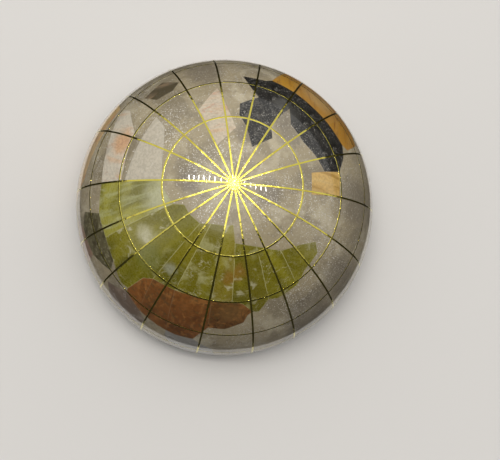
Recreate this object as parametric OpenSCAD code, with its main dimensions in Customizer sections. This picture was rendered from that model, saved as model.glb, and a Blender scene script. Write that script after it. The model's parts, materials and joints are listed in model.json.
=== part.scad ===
/*
    Paperweight: half a globe of inlaid stone slabs, with metal wires for its meridians and
    parallels, on a solid core with a felt underside.

    Frame: origin at the middle of the underside, +Z up through the globe's pole, +X to the
    right and +Y to the far side of someone who has East Asia nearest. All sizes are in mm.

    Places on the globe are [longitude, latitude] in degrees, west and south negative. The
    maker's map is a loose one, so its coasts are not where an atlas has them.
*/

/* [Dome] */

// Radius of the ground and polished stone face
dome_radius = 40; // [30:0.5:60]

// Thickness of the stone slabs and of the ocean filling between them
inlay_thickness = 3; // [2:0.1:5]

/* [Underside] */

// Thickness of the felt
felt_thickness = 1.2; // [0.8:0.1:2.5]

// How far the felt's edge stays in from the dome's edge
felt_inset = 1.5; // [0.5:0.1:4]

/* [Wires] */

// Width of a wire across its face
wire_width = 0.45; // [0.3:0.05:0.8]

// How far a wire stands above the stone
wire_stand = 0.05; // [0.02:0.01:0.15]

// How deep a meridian wire is let into the stone
meridian_depth = 0.3; // [0.2:0.05:0.5]

// How deep a parallel wire is let in, which is more than a meridian that crosses in its notch
parallel_depth = 0.6; // [0.5:0.05:1]

/* [Map] */

// Direction of longitude 0, turned from +X
greenwich = 156.5; // [0:0.5:360]

// Angle between the pole and the first parallel
first_parallel = 24; // [15:0.5:30]

// Angle from one parallel to the next
parallel_step = 17.5; // [12:0.5:19]

/* [Hidden] */

$fn = 96;

core_radius = dome_radius - inlay_thickness;
felt_radius = dome_radius - felt_inset;
reach = 1.6 * dome_radius;

// The wires were laid by eye, so their spacing is uneven.
meridians = [
    19, 39, 57, 79, 102, 123, 140, 159, 178,
    200, 222.5, 242, 261, 280, 299, 317, 337, 355
];

parallels = [for (k = [0:3]) first_parallel + k * parallel_step];

// Outlines of the slabs, each one counterclockwise as seen from outside. Neighbours share
// their corners, so their cut faces meet.

greenland = [[-59, 51.5], [-42.5, 60.5], [-44, 76], [-70, 70.5]];
small_island = [[-42, 41.5], [-36, 35], [-25, 38], [-28, 44.5], [-37, 45]];

scandinavia = [[-21, 51.5], [-1, 52.5], [19, 51], [19, 66], [-11, 61.5], [-19, 58]];
west_europe = [[-16, 32], [-12, 32.5], [3, 37], [19, 39], [19, 49.5], [-8, 48], [-17, 37]];

west_africa = [[-20, 15], [-10, 4], [0, -4], [0, 28], [-16, 28.5]];
east_africa = [[0, -4], [20, -4], [26, 8], [16, 24], [0, 28]];
arabia = [[30, 17], [37, 4], [48, 10], [46, 24], [35, 22]];
persia = [[29, 26], [35, 22], [46, 24], [56, 31], [53, 36], [43, 37.5], [32, 37]];

jade_1 = [[19, 39], [32, 37], [43, 37.5], [41, 69], [26, 66.5], [19, 66]];
jade_2 = [[43, 37.5], [53, 36], [57.5, 34], [57, 72.5], [46, 72.5], [41, 69]];
jade_3 = [[57.5, 34], [62, 32], [66, 33], [68, 43], [72, 46], [73, 73], [57, 72.5]];
jade_4 = [[72, 46], [84, 47.5], [84, 75], [73, 73]];
jade_5 = [[84, 47.5], [103, 48.5], [101, 76], [84, 75]];
jade_6 = [[103, 48.5], [113.5, 49], [115, 70.5], [113, 76.5], [101, 76]];
jade_7 = [
    [113.5, 49], [119, 47.5], [123.5, 43.5], [126, 42.5], [132, 47], [134, 68], [115, 70.5]
];
jade_8 = [[132, 47], [137, 46], [148, 47], [150, 62.5], [134, 68]];
jade_9 = [[148, 47], [155, 50], [167, 51], [171, 54.5], [163, 59], [150, 62.5]];

jasper_1 = [[66, 33], [66.5, 31], [75, 27], [72, 46], [68, 43]];
jasper_2 = [[75, 27], [84, 25], [88, 24.5], [84, 47.5], [72, 46]];
jasper_3 = [[88, 24.5], [92, 24], [99, 25], [101, 30], [104, 35], [103, 48.5], [84, 47.5]];
jasper_4 = [
    [104, 35], [111, 35], [119, 38.5], [121, 42], [123.5, 43.5], [119, 47.5], [113.5, 49],
    [103, 48.5]
];

india = [[58, 24], [64, 14], [69, 5], [74, 12], [80, 21], [75, 27], [66.5, 31]];
indochina = [[88, 20], [93, 8], [101, 4], [109, 8], [107, 18], [99, 25], [92, 24], [88, 24.5]];

alaska = [[-162, 62.5], [-160, 49.5], [-146.5, 48.5], [-146, 56], [-146, 62]];

canada_1 = [[-146.5, 48.5], [-139, 43.5], [-133, 41], [-121, 42], [-124, 60], [-135, 58], [-146, 56]];
canada_2 = [[-121, 42], [-100, 42], [-102, 53], [-109, 59], [-124, 60]];
canada_3 = [
    [-100, 42], [-87, 41.5], [-84, 43.5], [-73, 44], [-77, 50], [-83, 55], [-100, 59], [-102, 53]
];
canada_4 = [[-100, 59], [-83, 55], [-72, 60], [-72, 65], [-79, 69], [-93, 76], [-106, 69], [-99, 65]];

calcite_1 = [[-136, 38.5], [-134, 28], [-122, 22], [-121, 42], [-133, 41]];
calcite_2 = [[-122, 22], [-98, 20], [-100, 42], [-121, 42]];
calcite_3 = [[-98, 20], [-92, 22], [-90, 30], [-87, 41.5], [-100, 42]];
mexico = [[-122, 22], [-112, 9], [-100, 3], [-95, 10], [-98, 20]];
south_america = [[-80, 7], [-76, -4], [-52, -4], [-53, 5], [-63, 10], [-73, 12]];

SLABS = [
    greenland, small_island, scandinavia, west_europe, west_africa, east_africa, arabia, persia,
    jade_1, jade_2, jade_3, jade_4, jade_5, jade_6, jade_7, jade_8, jade_9,
    jasper_1, jasper_2, jasper_3, jasper_4, india, indochina,
    alaska, canada_1, canada_2, canada_3, canada_4,
    calcite_1, calcite_2, calcite_3, mexico, south_america
];

// Unit vector from the globe's centre toward a place.
function direction(place) = [
    cos(place[1]) * cos(place[0] + greenwich),
    cos(place[1]) * sin(place[0] + greenwich),
    sin(place[1])
];

// Sum of a list of vectors.
function total(list, i = 0) = i < len(list) - 1 ? list[i] + total(list, i + 1) : list[i];

function longitudes(outline) = [for (place = outline) place[0]];
function latitudes(outline) = [for (place = outline) place[1]];

// Numbers of the meridians that may cross an outline.
function meridians_over(outline) = [
    for (i = [0:len(meridians) - 1])
        for (turn = [0, -360])
            if (meridians[i] + turn > min(longitudes(outline)) - 2)
                if (meridians[i] + turn < max(longitudes(outline)) + 2)
                    i
];

// Numbers of the parallels that may cross an outline.
function parallels_over(outline) = [
    for (k = [0:len(parallels) - 1])
        if (90 - parallels[k] > min(latitudes(outline)) - 3)
            if (90 - parallels[k] < max(latitudes(outline)) + 3)
                k
];

// A meridian's longitude by number, where the numbers go on past either end of the list.
function meridian(i) =
    i < 0 ? meridians[len(meridians) - 1] - 360
    : i >= len(meridians) ? meridians[0] + 360
    : meridians[i];

// Puts what is drawn around the globe's centre on top of the felt.
module on_felt() {
    translate([0, 0, felt_thickness]) children();
}

// Everything under the globe's equator.
module below() {
    translate([-reach, -reach, -reach]) cube([2 * reach, 2 * reach, reach]);
}

// The half shell that the slabs and the ocean filling are cut from.
module shell() {
    difference() {
        sphere(r = dome_radius);
        sphere(r = core_radius);
        below();
    }
}

// A solid angle from the globe's centre through an outline.
module solid_angle(outline) {
    count = len(outline);
    spokes = [for (place = outline) direction(place)];
    middle = total(spokes);
    polyhedron(
        points = concat(
            [[0, 0, 0], reach * middle / norm(middle)],
            [for (spoke = spokes) reach * spoke]
        ),
        faces = [
            for (i = [0:count - 1])
                for (tip = [0, 1])
                    tip == 0 ? [0, i + 2, (i + 1) % count + 2] : [1, (i + 1) % count + 2, i + 2]
        ]
    );
}

// The part of the upper half space between two longitudes less than half a turn apart.
module lune(west, east) {
    middle = (west + east) / 2;
    linear_extrude(height = 2 * reach)
        polygon([
            [0, 0],
            reach * [cos(west + greenwich), sin(west + greenwich)],
            2 * reach * [cos(middle + greenwich), sin(middle + greenwich)],
            reach * [cos(east + greenwich), sin(east + greenwich)]
        ]);
}

// A meridian wire, mitred at the pole against the wires on each side of it.
module meridian_wire(i) {
    intersection() {
        rotate([90, 0, meridian(i) + greenwich])
            difference() {
                cylinder(r = dome_radius + wire_stand, h = wire_width, center = true);
                cylinder(r = dome_radius - meridian_depth, h = 2 * wire_width, center = true);
            }
        lune((meridian(i - 1) + meridian(i)) / 2, (meridian(i) + meridian(i + 1)) / 2);
    }
}

// A parallel wire before its notches are cut. It stands lower than the meridians that cross it.
module parallel_ring(k) {
    rotate_extrude()
        rotate(90 - parallels[k])
            translate([dome_radius - parallel_depth, -wire_width / 2])
                square([parallel_depth + wire_stand / 2, wire_width]);
}

// The parallel ring, with a notch for each of the first meridians, cut one at a time.
module notched_ring(k, count = len(meridians)) {
    if (count == 0)
        parallel_ring(k);
    else
        difference() {
            notched_ring(k, count - 1);
            meridian_wire(count - 1);
        }
}

// A stone slab, with grooves for the wires that cross it.
module slab(outline) {
    difference() {
        intersection() {
            shell();
            solid_angle(outline);
        }
        for (i = meridians_over(outline))
            meridian_wire(i);
        for (k = parallels_over(outline))
            parallel_ring(k);
    }
}

// The shell less the first slabs, cut one at a time.
module shell_between(count = len(SLABS)) {
    if (count == 0)
        shell();
    else
        difference() {
            shell_between(count - 1);
            solid_angle(SLABS[count - 1]);
        }
}

// The channel in the ocean for a meridian wire. It runs a little past the pole, into the others.
module meridian_channel(i) {
    difference() {
        rotate(meridian(i) + greenwich)
            translate([-wire_width / 4, -wire_width / 2, -1])
                cube([reach, wire_width, reach]);
        sphere(r = dome_radius - meridian_depth);
    }
}

// The ocean with a channel for each of the first meridians, cut one at a time.
module channelled_ocean(count = len(meridians)) {
    if (count == 0)
        shell_between();
    else
        difference() {
            channelled_ocean(count - 1);
            meridian_channel(count - 1);
        }
}

module felt_pad() {
    color("darkgreen") cylinder(r = felt_radius, h = felt_thickness);
}

module core_dome() {
    color("lightgray")
        on_felt()
            difference() {
                sphere(r = core_radius);
                below();
            }
}

module ocean_filling() {
    color("silver")
        on_felt()
            difference() {
                channelled_ocean();
                parallel_ring(0);
                parallel_ring(1);
                parallel_ring(2);
                parallel_ring(3);
            }
}

module slab_greenland() {
    color("mistyrose") on_felt() slab(greenland);
}

module slab_small_island() {
    color("dimgray") on_felt() slab(small_island);
}

module slab_scandinavia() {
    color("gainsboro") on_felt() slab(scandinavia);
}

module slab_west_europe() {
    color("seashell") on_felt() slab(west_europe);
}

module slab_west_africa() {
    color("burlywood") on_felt() slab(west_africa);
}

module slab_east_africa() {
    color("tan") on_felt() slab(east_africa);
}

module slab_arabia() {
    color("rosybrown") on_felt() slab(arabia);
}

module slab_persia() {
    color("darkslategray") on_felt() slab(persia);
}

module slab_jade_1() {
    color("yellowgreen") on_felt() slab(jade_1);
}

module slab_jade_2() {
    color("olivedrab") on_felt() slab(jade_2);
}

module slab_jade_3() {
    color("olive") on_felt() slab(jade_3);
}

module slab_jade_4() {
    color("olivedrab") on_felt() slab(jade_4);
}

module slab_jade_5() {
    color("olive") on_felt() slab(jade_5);
}

module slab_jade_6() {
    color("yellowgreen") on_felt() slab(jade_6);
}

module slab_jade_7() {
    color("olivedrab") on_felt() slab(jade_7);
}

module slab_jade_8() {
    color("olive") on_felt() slab(jade_8);
}

module slab_jade_9() {
    color("yellowgreen") on_felt() slab(jade_9);
}

module slab_jasper_1() {
    color("peru") on_felt() slab(jasper_1);
}

module slab_jasper_2() {
    color("sienna") on_felt() slab(jasper_2);
}

module slab_jasper_3() {
    color("saddlebrown") on_felt() slab(jasper_3);
}

module slab_jasper_4() {
    color("peru") on_felt() slab(jasper_4);
}

module slab_india() {
    color("lightgray") on_felt() slab(india);
}

module slab_indochina() {
    color("whitesmoke") on_felt() slab(indochina);
}

module slab_alaska() {
    color("khaki") on_felt() slab(alaska);
}

module slab_canada_1() {
    color("black") on_felt() slab(canada_1);
}

module slab_canada_2() {
    color("black") on_felt() slab(canada_2);
}

module slab_canada_3() {
    color("black") on_felt() slab(canada_3);
}

module slab_canada_4() {
    color("black") on_felt() slab(canada_4);
}

module slab_calcite_1() {
    color("orange") on_felt() slab(calcite_1);
}

module slab_calcite_2() {
    color("sandybrown") on_felt() slab(calcite_2);
}

module slab_calcite_3() {
    color("goldenrod") on_felt() slab(calcite_3);
}

module slab_mexico() {
    color("khaki") on_felt() slab(mexico);
}

module slab_south_america() {
    color("thistle") on_felt() slab(south_america);
}

module brass_meridian(i) {
    color("gold") on_felt() meridian_wire(i);
}

module brass_parallel(k) {
    color("gold") on_felt() notched_ring(k);
}

module wire_meridian_01() {
    brass_meridian(0);
}

module wire_meridian_02() {
    brass_meridian(1);
}

module wire_meridian_03() {
    brass_meridian(2);
}

module wire_meridian_04() {
    brass_meridian(3);
}

module wire_meridian_05() {
    brass_meridian(4);
}

module wire_meridian_06() {
    brass_meridian(5);
}

module wire_meridian_07() {
    brass_meridian(6);
}

module wire_meridian_08() {
    brass_meridian(7);
}

module wire_meridian_09() {
    brass_meridian(8);
}

module wire_meridian_10() {
    brass_meridian(9);
}

module wire_meridian_11() {
    brass_meridian(10);
}

module wire_meridian_12() {
    brass_meridian(11);
}

module wire_meridian_13() {
    brass_meridian(12);
}

module wire_meridian_14() {
    brass_meridian(13);
}

module wire_meridian_15() {
    brass_meridian(14);
}

module wire_meridian_16() {
    brass_meridian(15);
}

module wire_meridian_17() {
    brass_meridian(16);
}

module wire_meridian_18() {
    brass_meridian(17);
}

module wire_parallel_1() {
    brass_parallel(0);
}

module wire_parallel_2() {
    brass_parallel(1);
}

module wire_parallel_3() {
    brass_parallel(2);
}

module wire_parallel_4() {
    brass_parallel(3);
}

felt_pad();
core_dome();
ocean_filling();
slab_greenland();
slab_small_island();
slab_scandinavia();
slab_west_europe();
slab_west_africa();
slab_east_africa();
slab_arabia();
slab_persia();
slab_jade_1();
slab_jade_2();
slab_jade_3();
slab_jade_4();
slab_jade_5();
slab_jade_6();
slab_jade_7();
slab_jade_8();
slab_jade_9();
slab_jasper_1();
slab_jasper_2();
slab_jasper_3();
slab_jasper_4();
slab_india();
slab_indochina();
slab_alaska();
slab_canada_1();
slab_canada_2();
slab_canada_3();
slab_canada_4();
slab_calcite_1();
slab_calcite_2();
slab_calcite_3();
slab_mexico();
slab_south_america();
wire_meridian_01();
wire_meridian_02();
wire_meridian_03();
wire_meridian_04();
wire_meridian_05();
wire_meridian_06();
wire_meridian_07();
wire_meridian_08();
wire_meridian_09();
wire_meridian_10();
wire_meridian_11();
wire_meridian_12();
wire_meridian_13();
wire_meridian_14();
wire_meridian_15();
wire_meridian_16();
wire_meridian_17();
wire_meridian_18();
wire_parallel_1();
wire_parallel_2();
wire_parallel_3();
wire_parallel_4();
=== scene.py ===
"""Looks of a half-globe paperweight: stones and a glittering ocean inlaid between brass wires."""

import json
import logging
import math
from dataclasses import dataclass, field
from enum import Enum

import bpy
import numpy as np
from mathutils import Matrix, Vector

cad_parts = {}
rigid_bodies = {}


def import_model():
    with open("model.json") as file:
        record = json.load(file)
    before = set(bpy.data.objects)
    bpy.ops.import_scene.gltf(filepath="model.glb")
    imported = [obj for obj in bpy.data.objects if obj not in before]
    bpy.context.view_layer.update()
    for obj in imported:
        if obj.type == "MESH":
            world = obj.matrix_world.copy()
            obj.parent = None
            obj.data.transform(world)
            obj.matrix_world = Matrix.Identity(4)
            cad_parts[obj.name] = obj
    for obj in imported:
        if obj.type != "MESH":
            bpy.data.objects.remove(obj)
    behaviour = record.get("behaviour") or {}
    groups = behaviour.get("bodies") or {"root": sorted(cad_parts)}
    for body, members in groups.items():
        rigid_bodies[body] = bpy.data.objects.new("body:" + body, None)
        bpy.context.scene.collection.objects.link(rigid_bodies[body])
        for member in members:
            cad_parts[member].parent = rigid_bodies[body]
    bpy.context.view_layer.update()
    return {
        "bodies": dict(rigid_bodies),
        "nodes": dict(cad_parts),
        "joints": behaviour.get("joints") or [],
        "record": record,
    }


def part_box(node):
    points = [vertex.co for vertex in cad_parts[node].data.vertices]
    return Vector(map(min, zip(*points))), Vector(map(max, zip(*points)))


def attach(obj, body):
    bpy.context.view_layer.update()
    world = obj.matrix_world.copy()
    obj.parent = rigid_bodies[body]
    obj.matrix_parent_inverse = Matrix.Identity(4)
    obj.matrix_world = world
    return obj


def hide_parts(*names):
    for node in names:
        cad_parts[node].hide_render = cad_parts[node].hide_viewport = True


LOG = logging.getLogger("paperweight")
Colour = tuple[float, float, float]
Place = tuple[float, float, float]
MM = 0.001
INLAY_THICKNESS = 3.0 * MM
# Vertices that are closer than this, in metres, are one.
SAME_POINT = 1e-7
# A face whose normal has more than this share along a line stands square to it.
FACES_STRAIGHT = 0.9
# For layers of which only the mask is used.
NO_COLOUR: Colour = (0.0, 0.0, 0.0)


class Bench:
    """Selection and edit mode, used as one would by hand."""

    @staticmethod
    def clear() -> None:
        """Leaves edit mode with nothing selected."""
        active = bpy.context.view_layer.objects.active
        if active is not None and active.mode != "OBJECT":
            bpy.ops.object.mode_set(mode="OBJECT")
        bpy.ops.object.select_all(action="DESELECT")

    @staticmethod
    def take(piece: bpy.types.Object) -> None:
        """Makes one piece the only selected object and the active one.

        Args:
            piece: The object to work on.
        """
        Bench.clear()
        piece.select_set(True)
        bpy.context.view_layer.objects.active = piece

    @staticmethod
    def edit(piece: bpy.types.Object, mode: str = "FACE", everything: bool = True) -> None:
        """Opens a piece in edit mode.

        Args:
            piece: The object to edit.
            mode: VERT, EDGE or FACE selection.
            everything: Selects the whole mesh; False keeps the selection made in code.
        """
        Bench.take(piece)
        bpy.context.tool_settings.mesh_select_mode = (mode == "VERT", mode == "EDGE", mode == "FACE")
        bpy.ops.object.mode_set(mode="EDIT")
        if everything:
            bpy.ops.mesh.select_all(action="SELECT")

    @staticmethod
    def leave() -> None:
        """Goes back to object mode."""
        bpy.ops.object.mode_set(mode="OBJECT")

    @staticmethod
    def mark(piece: bpy.types.Object, verts: np.ndarray, faces: np.ndarray | None = None) -> None:
        """Selects vertices and faces in code, for the next operator.

        Args:
            piece: The object, in object mode.
            verts: A flag for each vertex.
            faces: A flag for each face, or None for none.
        """
        mesh = piece.data
        no_faces = np.zeros(len(mesh.polygons), bool)
        mesh.polygons.foreach_set("select", no_faces if faces is None else faces)
        mesh.edges.foreach_set("select", np.zeros(len(mesh.edges), bool))
        mesh.vertices.foreach_set("select", verts)

    @staticmethod
    def close(piece: bpy.types.Object) -> None:
        """Merges doubles, fills what is open and turns the faces outwards.

        Args:
            piece: The object to close.
        """
        Bench.edit(piece, "EDGE")
        bpy.ops.mesh.remove_doubles(threshold=SAME_POINT)
        bpy.ops.mesh.select_all(action="DESELECT")
        bpy.ops.mesh.select_non_manifold(extend=False, use_wire=False, use_multi_face=False)
        if any(edge.select for edge in Bench.edges(piece)):
            bpy.ops.mesh.fill_holes(sides=0)
        bpy.ops.mesh.select_all(action="SELECT")
        bpy.ops.mesh.normals_make_consistent(inside=False)
        Bench.leave()

    @staticmethod
    def edges(piece: bpy.types.Object) -> bpy.types.MeshEdges:
        """Returns the edges of a piece that is in edit mode, up to date."""
        piece.update_from_editmode()
        return piece.data.edges

    @staticmethod
    def points(mesh: bpy.types.Mesh) -> np.ndarray:
        """Lists a mesh's vertices.

        Args:
            mesh: The mesh.

        Returns:
            Rows of x, y and z.
        """
        flat = np.empty(3 * len(mesh.vertices))
        mesh.vertices.foreach_get("co", flat)
        return flat.reshape(-1, 3)


@dataclass(frozen=True)
class Globe:
    """Where things are on the half globe: sizes in metres, longitudes and latitudes in degrees."""

    radius: float
    base: float
    greenwich: float = 156.5
    meridians: tuple[float, ...] = (
        19, 39, 57, 79, 102, 123, 140, 159, 178, 200, 222.5, 242, 261, 280, 299, 317, 337, 355,
    )
    parallels: tuple[float, ...] = (66, 48.5, 31, 13.5)
    wire_width: float = 0.45 * MM
    groove_slack: float = 0.04 * MM

    @property
    def centre(self) -> Vector:
        """The globe's centre, in the plane of its equator."""
        return Vector((0, 0, self.base))

    def outward(self, points: np.ndarray) -> tuple[np.ndarray, np.ndarray]:
        """Splits points into directions from the centre and distances from it.

        Args:
            points: Rows of x, y and z.

        Returns:
            Unit directions and distances.
        """
        arms = points - np.array(self.centre)
        lengths = np.linalg.norm(arms, axis=1)
        return arms / np.maximum(lengths, SAME_POINT)[:, None], lengths

    def by_wire(self, directions: np.ndarray) -> np.ndarray:
        """Says which directions lie on the edge of a wire's groove or of the underside.

        Args:
            directions: Unit directions from the centre.

        Returns:
            A flag for each direction.
        """
        reach = self.wire_width / 2 + self.groove_slack
        on_edge = directions[:, 2] * self.radius < self.groove_slack
        for longitude in self.meridians:
            turn = math.radians(longitude + self.greenwich)
            along = directions[:, 0] * math.cos(turn) + directions[:, 1] * math.sin(turn)
            across = directions[:, 1] * math.cos(turn) - directions[:, 0] * math.sin(turn)
            on_edge |= (along > 0) & (np.abs(across) * self.radius < reach)
        latitudes = np.arcsin(np.clip(directions[:, 2], -1, 1))
        for parallel in self.parallels:
            on_edge |= np.abs(latitudes - math.radians(parallel)) * self.radius < reach
        return on_edge

    def local(self, direction: Vector, turn: float) -> Matrix:
        """Finds the frame of a place on the globe: east, north and up, in millimetres.

        Args:
            direction: Direction of the place from the centre.
            turn: Degrees by which the frame is turned there, counterclockwise from above.

        Returns:
            The matrix from object space to that frame.
        """
        up = direction.normalized()
        east = Vector((0, 0, 1)).cross(up).normalized()
        north = up.cross(east)
        axes = Matrix.Rotation(math.radians(-turn), 3, "Z") @ Matrix((east, north, up))
        shift = -(axes @ (self.centre + up * self.radius)) / MM
        return Matrix.Translation(shift) @ axes.to_4x4()


class Graph:
    """Adds nodes to a tree and links them, in rows from left to right."""

    COLUMN = 220
    ROW = 260
    ROW_LENGTH = 12

    def __init__(self, tree: bpy.types.NodeTree) -> None:
        """Starts with an empty tree."""
        self.tree = tree
        tree.nodes.clear()

    def add(self, kind: str, inputs: dict | None = None, **settings: object) -> bpy.types.Node:
        """Adds one node.

        Args:
            kind: The node's type name, without ShaderNode.
            inputs: Values or sockets for its inputs, by name or number.
            settings: Values for the node's own properties.

        Returns:
            The new node.
        """
        node = self.tree.nodes.new(kind if kind.startswith("Node") else "ShaderNode" + kind)
        row, column = divmod(len(self.tree.nodes), self.ROW_LENGTH)
        node.location = (self.COLUMN * column, -self.ROW * row)
        for name, value in settings.items():
            setattr(node, name, value)
        for key, value in (inputs or {}).items():
            self.feed(node.inputs[key], value)
        return node

    def feed(self, socket: bpy.types.NodeSocket, value: object) -> None:
        """Links a socket to an output, or sets its value.

        Args:
            socket: The input socket.
            value: An output socket, a number, a colour or a vector.
        """
        if isinstance(value, bpy.types.NodeSocket):
            self.tree.links.new(value, socket)
        elif socket.type == "RGBA":
            socket.default_value = (*value, 1.0)
        else:
            socket.default_value = value

    def maths(self, operation: str, first: object, second: object = 0.0) -> bpy.types.NodeSocket:
        """Returns the result of a Math node on one or two values."""
        return self.add("Math", {0: first, 1: second}, operation=operation).outputs[0]

    def vectors(self, operation: str, first: object, second: object) -> bpy.types.NodeSocket:
        """Returns the result of a Vector Math node on two vectors."""
        return self.add("VectorMath", {0: first, 1: second}, operation=operation).outputs[0]

    def scaled(self, vector: object, factor: object) -> bpy.types.NodeSocket:
        """Returns a vector times a number."""
        return self.add("VectorMath", {0: vector, "Scale": factor}, operation="SCALE").outputs[0]

    # A Mix node has its colours at inputs 6 and 7 and output 2, and its vectors at 4, 5 and 1.

    def blend(self, mask: object, under: object, over: object) -> bpy.types.NodeSocket:
        """Returns one colour where the mask is 0 and the other where it is 1."""
        return self.add("Mix", {0: mask, 6: under, 7: over}, data_type="RGBA").outputs[2]

    def blend_normals(self, mask: object, under: object, over: object) -> bpy.types.NodeSocket:
        """Returns one normal where the mask is 0 and the other where it is 1."""
        return self.add("Mix", {0: mask, 4: under, 5: over}, data_type="VECTOR").outputs[1]

    def noise(
        self, vector: object, detail: float,
        scale: float = 1.0, roughness: float = 0.5, distortion: float = 0.0,
    ) -> bpy.types.Node:
        """Adds a noise texture.

        Args:
            vector: Its coordinates.
            detail: How many finer noises it adds.
            scale: How many of its waves there are for each unit.
            roughness: How strong the finer noises are.
            distortion: How far it is pulled about.

        Returns:
            The node.
        """
        values = {"Scale": scale, "Detail": detail, "Roughness": roughness, "Distortion": distortion}
        return self.add("TexNoise", {"Vector": vector, **values})

    def bump(
        self, height: object, strength: float, distance: float, over: object = None
    ) -> bpy.types.NodeSocket:
        """Gives a surface relief.

        Args:
            height: The relief's height, from 0 to 1.
            strength: How much of it shows.
            distance: What a height of 1 stands for, in metres.
            over: The normal that it starts from, where it isn't the surface's own.

        Returns:
            The normal.
        """
        bump = self.add("Bump", {"Height": height, "Strength": strength, "Distance": distance})
        if over is not None:
            self.feed(bump.inputs["Normal"], over)
        return bump.outputs[0]

    def ease(
        self, value: object, low: object, high: object, start: object = 0.0, end: object = 1.0
    ) -> bpy.types.NodeSocket:
        """Adds a smooth step.

        Args:
            value: The value that the step follows.
            low: The value at which it starts.
            high: The value at which it ends.
            start: The result up to low.
            end: The result from high on.

        Returns:
            The result.
        """
        return self.add(
            "MapRange",
            {"Value": value, 1: low, 2: high, 3: start, 4: end},
            interpolation_type="SMOOTHSTEP",
        ).outputs[0]


class Effect(Enum):
    """The effects that the stones, the metal and the felt share."""

    CLOUDS = "clouds"
    VEINS = "veins"
    SPECKS = "specks"
    PATCH = "patch"
    FLAKES = "flakes"


@dataclass(frozen=True)
class Layer:
    """One effect over a ground colour. Scale is in cells for each millimetre, shift in millimetres."""

    effect: Effect
    colour: Colour
    scale: float
    low: float
    high: float
    amount: float = 1.0
    stretch: float = 1.0
    shift: Place = (0.0, 0.0, 0.0)


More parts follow.
